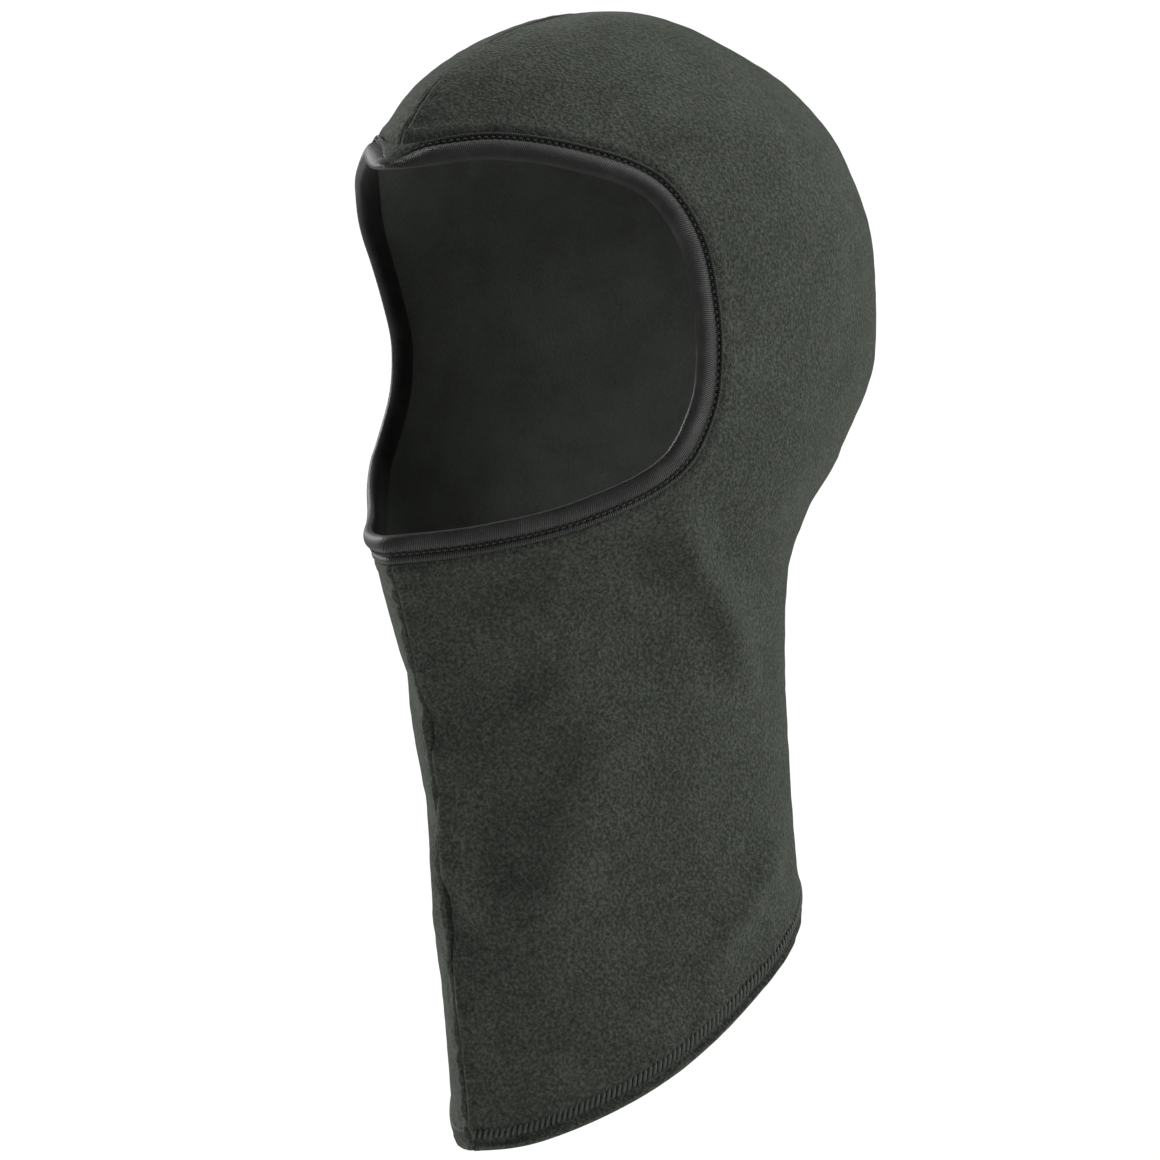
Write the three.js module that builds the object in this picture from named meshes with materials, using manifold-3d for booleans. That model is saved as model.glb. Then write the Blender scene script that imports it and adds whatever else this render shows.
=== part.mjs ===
// A fleece balaclava: two mirrored side panels sewn together along the middle, elastic tape
// bound around the face opening, a turned-up hem and the threads that hold them together.
//
// Millimetres. The origin is the top of the crown, inside; +Z is up, the face looks along -Y
// and the wearer's left is +X. Every piece is cut out of layers of one body form.

import * as THREE from 'three';
import { mergeVertices } from 'three/addons/utils/BufferGeometryUtils.js';
import Module from 'manifold-3d';

const wasm = await Module();
wasm.setup();

// ---- Driving sizes -------------------------------------------------------------------------

const formHeight = 386;      // top of the crown down to the front of the hem
const formWidth = 164;       // across the temples
const formDepth = 228;       // from the face side to the back of the head

const fleeceThickness = 1.8;
const seamAllowance = 4;     // how far the turned-in edges of the centre seams stand inwards
const hemFoldHeight = 9;     // how far the hem is turned up inside

const tapeThickness = 0.9;
const tapeWidth = 10;        // outer edge of the tape to its rolled inner edge
const tapeOverlap = 5.5;     // how far the fleece reaches into the folded tape
const tapeStitchInset = 2;   // stitch line to the outer edge of the tape

const threadThickness = 0.7;
const hemStitchHeight = 5.5; // stitch line above the hem's edge
const tackLength = 7;
const tackWidth = 2;

const clearance = 0.3;       // between neighbouring pieces

// The form's cross-sections from the crown down, drawn at the pattern's own size: how far down,
// half the width, the front, widest and back places along Y, and how strongly the front half is
// drawn to a ridge at its seam, from 0 to 1.
const levels = [
  { down: 0, half: 0, front: 0, widest: 0, back: 0, ridge: 0.3 },
  { down: 3, half: 18, front: -33, widest: -5, back: 20, ridge: 0.35 },
  { down: 12, half: 37, front: -61, widest: -5, back: 40, ridge: 0.45 },
  { down: 28, half: 56, front: -88, widest: -5, back: 65, ridge: 0.55 },
  { down: 48, half: 73, front: -104, widest: -5, back: 81, ridge: 0.62 },
  { down: 80, half: 82, front: -127, widest: -6, back: 94, ridge: 0.65 },
  { down: 115, half: 79, front: -128, widest: -8, back: 100, ridge: 0.65 },
  { down: 150, half: 79, front: -121, widest: -11, back: 79, ridge: 0.65 },
  { down: 170, half: 72, front: -113, widest: -10, back: 63, ridge: 0.7 },
  { down: 190, half: 63, front: -106, widest: -7, back: 58, ridge: 0.74 },
  { down: 220, half: 61, front: -96, widest: -2, back: 56, ridge: 0.74 },
  { down: 270, half: 59, front: -84, widest: 7, back: 59, ridge: 0.74 },
  { down: 330, half: 58, front: -77, widest: 15, back: 65, ridge: 0.74 },
  { down: 400, half: 62, front: -67, widest: 20, back: 67, ridge: 0.74 },
];
const patternHeight = 386;
const backRidge = 0.15;      // the same for the back half, at every level

// The face opening in side view, [Y, down]: the tape's outer edge from the brow to the chin.
const faceOutline = [
  [-104, 47], [-85, 43], [-64, 47.5], [-46, 57], [-35.5, 76], [-28.5, 98], [-26, 115],
  [-29, 137], [-42, 160], [-64, 175], [-88, 184], [-108, 188],
];

// The hem's edge in side view, [Y, down], from the front seam to the back seam.
const hemOutline = [
  [-71, 386], [-55, 382], [-23, 362], [12, 333], [42, 308], [68, 289],
];

const fleeceColour = 0x41453f;
const tapeColour = 0x3d3d3b;
const threadColour = 0x2f312e;

// ---- Mesh resolution -----------------------------------------------------------------------

const levelSteps = 20;
const sectionSteps = 14;     // around each half of a cross-section
const outlineSteps = 30;

// ---- The body form -------------------------------------------------------------------------

// A smooth curve through the given values that doesn't overshoot them.
function smoothThrough(places, values) {
  const rises = values.slice(1).map((value, i) => (value - values[i]) / (places[i + 1] - places[i]));
  const slopes = places.map((_, i) => {
    const before = rises[Math.max(i - 1, 0)];
    const after = rises[Math.min(i, rises.length - 1)];
    return before * after > 0 ? (2 * before * after) / (before + after) : 0;
  });
  return (place) => {
    let i = 0;
    while (i < places.length - 2 && place > places[i + 1]) i += 1;
    const span = places[i + 1] - places[i];
    const t = (place - places[i]) / span;
    const s = 1 - t;
    return values[i] * s * s * (1 + 2 * t) + slopes[i] * span * t * s * s
      + values[i + 1] * t * t * (1 + 2 * s) - slopes[i + 1] * span * t * t * s;
  };
}

const patternWidth = 2 * Math.max(...levels.map((level) => level.half));
const patternDepth = Math.max(...levels.map((level) => level.back))
  - Math.min(...levels.map((level) => level.front));
const widthScale = formWidth / patternWidth;
const depthScale = formDepth / patternDepth;
const heightScale = formHeight / patternHeight;

// The curves run along the square root of the depth, so that the crown closes in a round top.
const curveThrough = (key) => smoothThrough(
  levels.map((level) => Math.sqrt(level.down)),
  levels.map((level) => level[key]),
);
const halfAt = curveThrough('half');
const frontAt = curveThrough('front');
const widestAt = curveThrough('widest');
const backAt = curveThrough('back');
const ridgeAt = curveThrough('ridge');
const lastRoot = Math.sqrt(levels[levels.length - 1].down);
const browDown = faceOutline[0][1] * heightScale;
const chinDown = faceOutline[faceOutline.length - 1][1] * heightScale;
const faceMiddle = -(browDown + chinDown) / 2;

// A point of the form: root is the square root of the depth in the pattern, and the angle runs
// around the section from the front seam (0) over the left side to the back seam (pi) and on.
function formPoint(root, angle) {
  const facing = Math.cos(angle) > 0 ? frontAt(root) : backAt(root);
  const ridge = Math.cos(angle) > 0 ? ridgeAt(root) : backRidge;
  const sine = Math.sin(angle);
  const x = halfAt(root) * ((1 - ridge) * sine + ridge * sine * Math.abs(sine));
  const y = widestAt(root) + (facing - widestAt(root)) * Math.abs(Math.cos(angle));
  return new THREE.Vector3(x * widthScale, y * depthScale, -root * root * heightScale);
}

function formNormal(root, angle) {
  const step = 0.02;
  const around = formPoint(root, angle + step).sub(formPoint(root, angle - step));
  const down = formPoint(root + step, angle).sub(formPoint(root - step, angle));
  return down.cross(around).normalize();
}

// ---- Solids --------------------------------------------------------------------------------

function solidFrom(geometry) {
  const bare = geometry.clone();
  bare.deleteAttribute('normal');
  bare.deleteAttribute('uv');
  const merged = mergeVertices(bare, 1e-4);
  return new wasm.Manifold(new wasm.Mesh({
    numProp: 3,
    vertProperties: new Float32Array(merged.attributes.position.array),
    triVerts: new Uint32Array(merged.index.array),
  }));
}

// The whole form as one closed body, grown outwards by the given distance.
function grownForm(distance) {
  const columns = 2 * sectionSteps;
  const positions = [0, 0, distance];
  for (let row = 1; row <= levelSteps; row += 1) {
    const root = (lastRoot * row) / levelSteps;
    for (let column = 0; column < columns; column += 1) {
      const angle = (2 * Math.PI * column) / columns;
      const point = formPoint(root, angle).addScaledVector(formNormal(root, angle), distance);
      positions.push(point.x, point.y, point.z);
    }
  }
  const foot = positions.length / 3;
  positions.push(0, 0, -levels[levels.length - 1].down * heightScale);

  const vertex = (row, column) => 1 + (row - 1) * columns + (column % columns);
  const triangles = [];
  for (let column = 0; column < columns; column += 1) {
    triangles.push(0, vertex(1, column), vertex(1, column + 1));
    triangles.push(foot, vertex(levelSteps, column + 1), vertex(levelSteps, column));
    for (let row = 1; row < levelSteps; row += 1) {
      triangles.push(vertex(row, column), vertex(row + 1, column), vertex(row + 1, column + 1));
      triangles.push(vertex(row, column), vertex(row + 1, column + 1), vertex(row, column + 1));
    }
  }
  const geometry = new THREE.BufferGeometry();
  geometry.setAttribute('position', new THREE.Float32BufferAttribute(positions, 3));
  geometry.setIndex(triangles);
  return solidFrom(geometry);
}

// A layer of the form between two distances from its surface.
function layer(inner, outer) {
  return grownForm(outer).subtract(grownForm(inner));
}

// A body with the given side view, [Y, Z] corners, running right through the form along X.
function sideViewBody(corners) {
  const width = 2 * formWidth;
  const shape = new THREE.Shape(corners.map(([y, z]) => new THREE.Vector2(y, z)));
  const geometry = new THREE.ExtrudeGeometry(shape, { depth: width, bevelEnabled: false });
  geometry.applyMatrix4(new THREE.Matrix4().makeBasis(
    new THREE.Vector3(0, 1, 0),
    new THREE.Vector3(0, 0, 1),
    new THREE.Vector3(1, 0, 0),
  ));
  geometry.translate(-width / 2, 0, 0);
  return solidFrom(geometry);
}

// The points of a side-view outline, moved to its left by the given distance.
function movedOutline(outline, distance) {
  const curve = new THREE.SplineCurve(
    outline.map(([y, down]) => new THREE.Vector2(y * depthScale, -down * heightScale)),
  );
  return Array.from({ length: outlineSteps + 1 }, (_, i) => {
    const point = curve.getPoint(i / outlineSteps);
    const along = curve.getTangent(i / outlineSteps);
    return [point.x - along.y * distance, point.y + along.x * distance];
  });
}

// Everything in front of the face outline, moved into the opening by the given distance.
function faceBody(inset) {
  const rim = movedOutline(faceOutline, -inset);
  const ahead = 2 * levels[1].front * depthScale - formDepth;
  return sideViewBody([[ahead, rim[0][1]], ...rim, [ahead, rim[outlineSteps][1]]].reverse());
}

// Everything below the hem's edge, moved up by the given distance.
function belowHem(raise) {
  const edge = movedOutline(hemOutline, raise);
  const frontHeight = edge[0][1];
  const backHeight = edge[outlineSteps][1];
  const floor = -2 * formHeight;
  const ahead = -2 * formDepth;
  const behind = 2 * formDepth;
  return sideViewBody([
    [ahead, floor], [behind, floor], [behind, backHeight], ...edge.reverse(), [ahead, frontHeight],
  ]);
}

// A slab across the middle of the form, between two places along X.
function slab(from, to) {
  const geometry = new THREE.BoxGeometry(to - from, 4 * formDepth, 4 * formHeight);
  geometry.translate((from + to) / 2, 0, 0);
  return solidFrom(geometry);
}

// ---- Pieces --------------------------------------------------------------------------------

const inside = -fleeceThickness;
const tapeOutside = clearance + tapeThickness;
const tapeInside = inside - clearance - tapeThickness;
const seamHalfGap = clearance / 2;

// Both side panels in one: the fleece, the seam allowances along the middle and the turned-up hem.
function bothPanels() {
  const fleece = layer(inside, 0).subtract(faceBody(tapeOverlap));
  const hemFold = layer(inside - fleeceThickness, inside / 2)
    .intersect(belowHem(hemFoldHeight));
  const allowances = layer(inside - seamAllowance, inside / 2)
    .intersect(slab(-seamHalfGap - fleeceThickness, seamHalfGap + fleeceThickness))
    .subtract(faceBody(-clearance));
  return fleece.add(hemFold).add(allowances).subtract(belowHem(0));
}

// One side panel: side is 1 for the wearer's left and -1 for the right.
function sidePanel(side) {
  const edges = [side * seamHalfGap, side * formWidth];
  return bothPanels().intersect(slab(Math.min(...edges), Math.max(...edges)));
}

// The elastic tape, folded over the fleece's edge all around the face opening.
function faceTape() {
  const fleeceSeat = layer(inside - clearance, clearance)
    .subtract(faceBody(tapeOverlap + clearance));
  return layer(tapeInside, tapeOutside)
    .intersect(faceBody(0))
    .subtract(faceBody(tapeWidth))
    .subtract(fleeceSeat);
}

// The thread that sews the tape down, lying on its outer face.
function tapeStitching() {
  const bottom = tapeOutside + clearance;
  return layer(bottom, bottom + threadThickness)
    .intersect(faceBody(tapeStitchInset))
    .subtract(faceBody(tapeStitchInset + threadThickness));
}

// The bar tack across the tape's overlapping ends, at the middle of the brow.
function tapeEndTack() {
  const bottom = tapeOutside + clearance;
  const start = tapeStitchInset + threadThickness + clearance;
  const brow = faceBody(start).subtract(faceBody(start + tackWidth));
  const aboveOpening = sideViewBody([
    [-2 * formDepth, faceMiddle], [0, faceMiddle], [0, 0], [-2 * formDepth, 0],
  ]);
  return layer(bottom, bottom + threadThickness)
    .intersect(brow)
    .intersect(aboveOpening)
    .intersect(slab(-tackLength / 2, tackLength / 2));
}

// The thread that binds the two allowances of a centre seam, inside the balaclava.
function seamStitching() {
  const top = inside - seamAllowance - clearance;
  return layer(top - threadThickness, top)
    .intersect(slab(-threadThickness / 2, threadThickness / 2))
    .subtract(faceBody(-clearance))
    .subtract(belowHem(threadThickness));
}

// The front of the form below the middle of the face, which holds the throat seam; the other
// centre seam runs from the brow over the crown and down the back.
function throatSide() {
  const ahead = -2 * formDepth;
  const floor = -2 * formHeight;
  return sideViewBody([[ahead, faceMiddle], [ahead, floor], [0, floor], [0, faceMiddle]]);
}

// The cover stitch that holds the turned-up hem, lying on the outside.
function hemStitching() {
  return layer(clearance, clearance + threadThickness)
    .intersect(belowHem(hemStitchHeight + threadThickness))
    .subtract(belowHem(hemStitchHeight));
}

// ---- The assembly --------------------------------------------------------------------------

function meshOf(name, solid, colour, roughness) {
  const { vertProperties, triVerts } = solid.getMesh();
  const geometry = new THREE.BufferGeometry();
  geometry.setAttribute('position', new THREE.BufferAttribute(vertProperties, 3));
  geometry.setIndex(new THREE.BufferAttribute(triVerts, 1));
  geometry.computeVertexNormals();
  const material = new THREE.MeshStandardMaterial({ color: colour, roughness, metalness: 0 });
  const mesh = new THREE.Mesh(geometry, material);
  mesh.name = name;
  return mesh;
}

const balaclava = new THREE.Group();
balaclava.add(
  meshOf('left_side_panel', sidePanel(1), fleeceColour, 0.95),
  meshOf('right_side_panel', sidePanel(-1), fleeceColour, 0.95),
  meshOf('face_binding_tape', faceTape(), tapeColour, 0.7),
  meshOf('face_binding_stitching', tapeStitching(), threadColour, 0.8),
  meshOf('binding_end_tack', tapeEndTack(), threadColour, 0.8),
  meshOf('crown_and_back_seam_thread', seamStitching().subtract(throatSide()), threadColour, 0.8),
  meshOf('throat_seam_thread', seamStitching().intersect(throatSide()), threadColour, 0.8),
  meshOf('hem_stitching', hemStitching(), threadColour, 0.8),
);

balaclava.position.z = fleeceThickness;

export default balaclava;
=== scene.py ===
"""A fleece balaclava, held up open over a plain pale floor in soft studio light.

The fleece, tape and threads are built in millimetres on the same body form as the CAD part,
and every piece is turned into metres in the frame as it is made.
"""

import math

import bmesh
import bpy
import numpy as np
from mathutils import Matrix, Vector, noise


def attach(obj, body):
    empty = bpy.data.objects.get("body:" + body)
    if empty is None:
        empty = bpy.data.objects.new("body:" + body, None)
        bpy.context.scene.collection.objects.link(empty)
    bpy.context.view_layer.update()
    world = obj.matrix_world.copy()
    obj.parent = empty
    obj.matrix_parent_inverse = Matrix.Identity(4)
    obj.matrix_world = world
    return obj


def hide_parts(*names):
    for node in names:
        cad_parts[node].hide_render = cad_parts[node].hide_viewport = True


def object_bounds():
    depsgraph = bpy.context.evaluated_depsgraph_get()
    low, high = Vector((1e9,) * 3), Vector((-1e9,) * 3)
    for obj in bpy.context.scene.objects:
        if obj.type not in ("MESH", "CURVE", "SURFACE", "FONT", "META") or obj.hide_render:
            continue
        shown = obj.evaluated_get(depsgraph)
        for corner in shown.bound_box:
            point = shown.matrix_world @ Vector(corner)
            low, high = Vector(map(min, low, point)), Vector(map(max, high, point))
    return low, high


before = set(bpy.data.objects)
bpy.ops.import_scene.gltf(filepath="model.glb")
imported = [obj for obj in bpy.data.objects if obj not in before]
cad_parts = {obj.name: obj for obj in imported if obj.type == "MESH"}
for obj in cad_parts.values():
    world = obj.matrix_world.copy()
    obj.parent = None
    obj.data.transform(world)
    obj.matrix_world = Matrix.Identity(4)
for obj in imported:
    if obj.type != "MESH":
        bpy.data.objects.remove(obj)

cad_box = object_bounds()

# ---- Sizes of the part, in millimetres ----

MM = 0.001
FLEECE = 1.8  # thickness of the fleece; the frame's origin is inside the crown's top
SEAM_GAP = 0.15  # half the gap between the two panels
ALLOWANCE = 4.0  # how far the seam allowances stand inwards
HEM_FOLD = 9.0
HEM_ROUND = 1.5  # height of the rounded edge of the hem
HEM_STITCH_HEIGHT = 5.5
TAPE_WIDTH = 10.0
TAPE_SLOT = 5.5  # how far the tape's slot for the fleece's edge reaches into it
FLEECE_REACH = 3.6  # how far the fleece's cut edge reaches under the tape in side view
TAPE_OUTSIDE = 1.2  # the tape's outer face above the fleece's
TAPE_INSIDE = -3.0
CLEARANCE = 0.3
TAPE_STITCH_PITCH = 2.4
HEM_STITCH_PITCH = 2.0

# The body form's sections from the crown down: down, half the width, front, widest and back
# places along Y, and how strongly the front half is drawn to a ridge at its seam.
LEVELS = np.array([
    (0, 0, 0, 0, 0, 0.3),
    (3, 18, -33, -5, 20, 0.35),
    (12, 37, -61, -5, 40, 0.45),
    (28, 56, -88, -5, 65, 0.55),
    (48, 73, -104, -5, 81, 0.62),
    (80, 82, -127, -6, 94, 0.65),
    (115, 79, -128, -8, 100, 0.65),
    (150, 79, -121, -11, 79, 0.65),
    (170, 72, -113, -10, 63, 0.7),
    (190, 63, -106, -7, 58, 0.74),
    (220, 61, -96, -2, 56, 0.74),
    (270, 59, -84, 7, 59, 0.74),
    (330, 58, -77, 15, 65, 0.74),
    (400, 62, -67, 20, 67, 0.74),
])
BACK_RIDGE = 0.15
SEAM_SHIFT = 0.4  # how far the centre seams settle aside
SEAM_REACH = 8.0
SEAM_TURN = 20.0  # length over the crown in which the seam crosses over
NECK_TOP = 190  # depth from which the rows lean towards the slanting hem

# The face opening and the hem in side view, [Y, Z], from the form's top.
FACE_OUTLINE = [
    (-104, -47), (-85, -43), (-64, -47.5), (-46, -57), (-35.5, -76), (-28.5, -98), (-26, -115),
    (-29, -137), (-42, -160), (-64, -175), (-88, -184), (-108, -188),
]
HEM_OUTLINE = [(-71, -386), (-55, -382), (-23, -362), (12, -333), (42, -308), (68, -289)]
OUTLINE_POINTS = 601
HEM_POINTS = 301
EXTENSION_POINTS = 60  # on each of the face outline's straight extensions past the seams
PANEL_EXTENSION = 30.0
TAPE_EXTENSION = 25.0

# The right side hangs a little differently: [Y, Z] of each place and its move along Y.
RIGHT_SHIFTS = [((-54, -64), -5.0), ((-34, -122), 2.0), ((-78, -166), 4.0)]
SHIFT_SIZE = 20.0
SHIFT_STARTS, SHIFT_FULL = 6.0, 40.0  # distances from the centre seam

# ---- Curves and the body form ----


def smooth_through(places, values):
    """A smooth curve through the values that doesn't overshoot them."""
    rises = np.diff(values) / np.diff(places)
    before = np.append(rises[:1], rises)
    after = np.append(rises, rises[-1:])
    total = np.where(before * after > 0, before + after, 1)
    slopes = np.where(before * after > 0, 2 * before * after / total, 0)

    def curve(place):
        i = np.clip(np.searchsorted(places, place, side="right") - 1, 0, len(places) - 2)
        span = places[i + 1] - places[i]
        t = (place - places[i]) / span
        s = 1 - t
        return (values[i] * s * s * (1 + 2 * t) + slopes[i] * span * t * s * s
                + values[i + 1] * t * t * (1 + 2 * s) - slopes[i + 1] * span * t * t * s)

    return curve


def spline(points, count):
    """An evenly stepped Catmull-Rom curve through the points."""
    points = np.array(points, float)
    place = np.linspace(0, len(points) - 1, count)
    i = np.minimum(place.astype(int), len(points) - 2)
    t = (place - i)[:, None]
    start = (points[i + 1] - points[np.maximum(i - 1, 0)]) / 2
    end = (points[np.minimum(i + 2, len(points) - 1)] - points[i]) / 2
    return ((2 * t**3 - 3 * t**2 + 1) * points[i] + (t**3 - 2 * t**2 + t) * start
            + (3 * t**2 - 2 * t**3) * points[i + 1] + (t**3 - t**2) * end)


ROOTS = np.sqrt(LEVELS[:, 0])
half_at, front_at, widest_at, back_at, ridge_at = (
    smooth_through(ROOTS, LEVELS[:, column]) for column in range(1, 6))


def form_point(root, angle):
    """A point of the form's left side: root is the square root of its depth, and the angle
    runs from the front seam (0) over the side to the back seam (pi)."""
    facing = np.where(np.cos(angle) > 0, front_at(root), back_at(root))
    ridge = np.where(np.cos(angle) > 0, ridge_at(root), BACK_RIDGE)
    sine = np.sin(angle)
    x = half_at(root) * ((1 - ridge) * sine + ridge * sine * np.abs(sine))
    y = widest_at(root) + (facing - widest_at(root)) * np.abs(np.cos(angle))
    return np.stack([x, y, -root * root + 0 * angle], axis=-1)


def form_normal(root, angle):
    """The form's outward normal, straight up at the very top of the crown."""
    step = 0.02
    around = form_point(root, angle + step) - form_point(root, angle - step)
    down = form_point(root + step, angle) - form_point(np.maximum(root - step, 0), angle)
    across = np.cross(down, around)
    length = np.linalg.norm(across, axis=-1, keepdims=True)
    upright = np.broadcast_to(np.array([0.0, 0.0, 1.0]), across.shape)
    return np.where(root[..., None] > step, across / np.maximum(length, 1e-9), upright)


def angle_of(root, y):
    """The angle at which the form's section has this place along Y."""
    widest = widest_at(root)
    facing = np.where(y < widest, front_at(root), back_at(root))
    reach = np.where(facing == widest, 1, facing - widest)
    turn = np.arccos(np.clip((y - widest) / reach, 0, 1))
    return np.where(y < widest, turn, math.pi - turn)


def length_along(points):
    """The distance along a line of points, from its start."""
    return np.append(0, np.cumsum(np.linalg.norm(np.diff(points, axis=0), axis=1)))


def sampled(places, along, line):
    """Points or directions of a line at other places along it."""
    return np.stack([np.interp(places, along, part) for part in line.T], axis=1)


def ease(value, start, end):
    """0 before start and 1 after end, with a smooth change between them."""
    t = np.clip((value - start) / (end - start), 0, 1)
    return t * t * (3 - 2 * t)


def unit(vectors):
    return vectors / np.linalg.norm(vectors, axis=-1, keepdims=True)


def bump(value, centre, width):
    """A smooth hump that is 1 at its centre."""
    return np.exp(-((value - centre) / width) ** 2)


def smooth_noise(points, size, seed):
    """Smooth noise between about -1 and 1 at each point, with features of this size."""
    shift = Vector((17.3 * seed, -9.1 * seed, 5.7 * seed))
    flat = np.reshape(points, (-1, 3)) / size
    values = [noise.noise(Vector(point) + shift) for point in flat]
    return 2 * np.reshape(values, points.shape[:-1])


def moved_outline(inset, extension):
    """The face outline in side view, moved into the opening and drawn on past its ends."""
    line = spline(FACE_OUTLINE, OUTLINE_POINTS)
    along = unit(np.gradient(line, axis=0))
    line = line + inset * np.stack([along[:, 1], -along[:, 0]], axis=1)
    steps = np.linspace(0.2, extension, EXTENSION_POINTS)[:, None]
    return np.vstack([(line[0] - steps * along[0])[::-1], line, line[-1] + steps * along[-1]])


HEM_LINE = spline(HEM_OUTLINE, HEM_POINTS)
HEM_SLOPE = np.gradient(HEM_LINE[:, 1], HEM_LINE[:, 0])


def hem_depth(y):
    """Depth of the hem's edge at a place along Y."""
    return -np.interp(y, HEM_LINE[:, 0], HEM_LINE[:, 1])


def hem_lean(y):
    """Height straight up for each millimetre squarely away from the slanting hem."""
    return np.sqrt(1 + np.interp(y, HEM_LINE[:, 0], HEM_SLOPE) ** 2)


def height_over_hem(points):
    """Distance of the form's points from the hem's edge, squarely away from it."""
    y = points[..., 1]
    return (hem_depth(y) + points[..., 2]) / hem_lean(y)


# ---- Making meshes ----

MERGE_DISTANCE = 1e-7  # metres
SHARP_ANGLE = math.radians(55)
THREAD_TIP = 0.45  # share of a thread's radius at its ends
STITCH_START = 1.5  # the first stitches' distance from the centre seams
STITCH_SHARES = np.linspace(-1, 1, 5)  # places along one stitch


def settled(points):
    """The centre seams settle a little aside as worn, the front one to the left and the back
    one to the right."""
    points = points.copy()
    near_middle = np.exp(-(points[:, 0] / SEAM_REACH) ** 2)
    points[:, 0] -= SEAM_SHIFT * near_middle * np.tanh(points[:, 1] / SEAM_TURN)
    return points


def in_scene(name, data):
    made = bpy.data.objects.new(name, data)
    bpy.context.scene.collection.objects.link(made)
    return made


def make_piece(node, points, faces, material, uv=None):
    """A mesh from points in millimetres, riding on the root body in place of its CAD node."""
    name = "soft_" + node
    mesh = bpy.data.meshes.new(name)
    lifted = (settled(points) + (0, 0, FLEECE)) * MM
    mesh.from_pydata(lifted.tolist(), [], faces)
    if uv is not None:
        layer = mesh.uv_layers.new(name="along")
        corners = np.zeros(len(mesh.loops), int)
        mesh.loops.foreach_get("vertex_index", corners)
        layer.data.foreach_set("uv", uv[corners].ravel())
    mesh.materials.append(material)
    mesh.validate()
    mesh.polygons.foreach_set("use_smooth", [True] * len(mesh.polygons))
    mesh.update()
    piece = in_scene(name, mesh)
    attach(piece, "root")
    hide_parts(node)
    return piece


def quads(ids):
    """Quads between rows and columns of numbered points."""
    return np.stack([ids[:-1, :-1], ids[1:, :-1], ids[1:, 1:], ids[:-1, 1:]], axis=-1)


def closed_quads(rows, columns, ring=False):
    """Quads of a tube whose points are numbered row by row, with its ends joined in a ring."""
    ids = np.arange(rows * columns).reshape(rows, columns)
    return quads(np.pad(ids, ((0, int(ring)), (0, 1)), mode="wrap")).reshape(-1, 4)


def tubes(paths, ups, radius, sides=6):
    """Round threads along paths of shape (threads, steps, 3), with blunt closed ends."""
    count, steps, _ = paths.shape
    along = unit(np.gradient(paths, axis=1))
    side = unit(np.cross(along, ups))
    up = np.cross(side, along)
    turn = 2 * math.pi * np.arange(sides) / sides
    swell = np.ones(steps)
    swell[[0, -1]] = THREAD_TIP
    ring = (np.cos(turn)[:, None] * up[:, :, None, :] + np.sin(turn)[:, None] * side[:, :, None, :])
    points = paths[:, :, None, :] + radius * swell[None, :, None, None] * ring
    body = closed_quads(steps, sides)
    size = steps * sides
    offsets = (np.arange(count) * size)[:, None, None]
    faces = (body[None] + offsets).reshape(-1, 4).tolist()
    for start in range(0, count * size, size):
        end = start + size
        faces.append(list(range(start, start + sides)))
        faces.append(list(range(end - 1, end - sides - 1, -1)))
    return points.reshape(-1, 3), faces


def right_side(points):
    """The same points on the wearer's right side, with the settling of its face opening."""
    moved = points * (-1, 1, 1)
    off_seam = ease(points[..., 0], SHIFT_STARTS, SHIFT_FULL)
    for (y, z), shift in RIGHT_SHIFTS:
        away = np.hypot(points[..., 1] - y, points[..., 2] - z) / SHIFT_SIZE
        moved[..., 1] += shift * off_seam * np.exp(-away ** 2)
    return moved


def both_sides(paths, ups):
    """Paths and their upward directions on the left side, followed by those on the right."""
    return (np.concatenate([paths, right_side(paths)]),
            np.concatenate([ups, ups * (-1, 1, 1)]))


def stitch_places(length, pitch, half):
    """Places along a row of stitches. half is half a stitch's length as a share of the pitch."""
    centres = STITCH_START + pitch * (np.arange(int(length / pitch)) + 0.5)
    return centres[:, None] + half * pitch * STITCH_SHARES[None]


def thread_piece(node, parts):
    """One piece of thread from the points and faces of its parts."""
    points, faces = [], []
    for made, loops in parts:
        start = sum(len(part) for part in points)
        points.append(made)
        faces.extend([[start + corner for corner in loop] for loop in loops])
    return make_piece(node, np.vstack(points), faces, thread)


def tidy_mesh(mesh):
    """Merges the points that meet at the crown, removes unused ones and turns faces outwards."""
    work = bmesh.new()
    work.from_mesh(mesh)
    bmesh.ops.remove_doubles(work, verts=work.verts, dist=MERGE_DISTANCE)
    loose = [vertex for vertex in work.verts if not vertex.link_faces]
    bmesh.ops.delete(work, geom=loose, context="VERTS")
    bmesh.ops.recalc_face_normals(work, faces=work.faces)
    work.to_mesh(mesh)
    work.free()
    mesh.set_sharp_from_angle(angle=SHARP_ANGLE)


# ---- Materials ----

RIB_PITCH = 0.75  # millimetres along the tape
RIB_SLANT = 0.25
LIP_BROW, LIP_CHIN = 1.4, 2.8  # width of the raised lip along the tape's outer edge
GROOVE_HALF = 0.65  # half the width of the stitched groove

# How fine each noise is, in features per metre.
FIBRES = 2600
THREAD_FIBRES = 3200
PEBBLES = 900
TAPE_PATCHES = 110
CLOTH_PATCHES = 60
FLOOR_PATCHES = 3

PILE_STOPS = (0.38, 0.50, 0.63)
WHITE = (1, 1, 1, 1)


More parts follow.
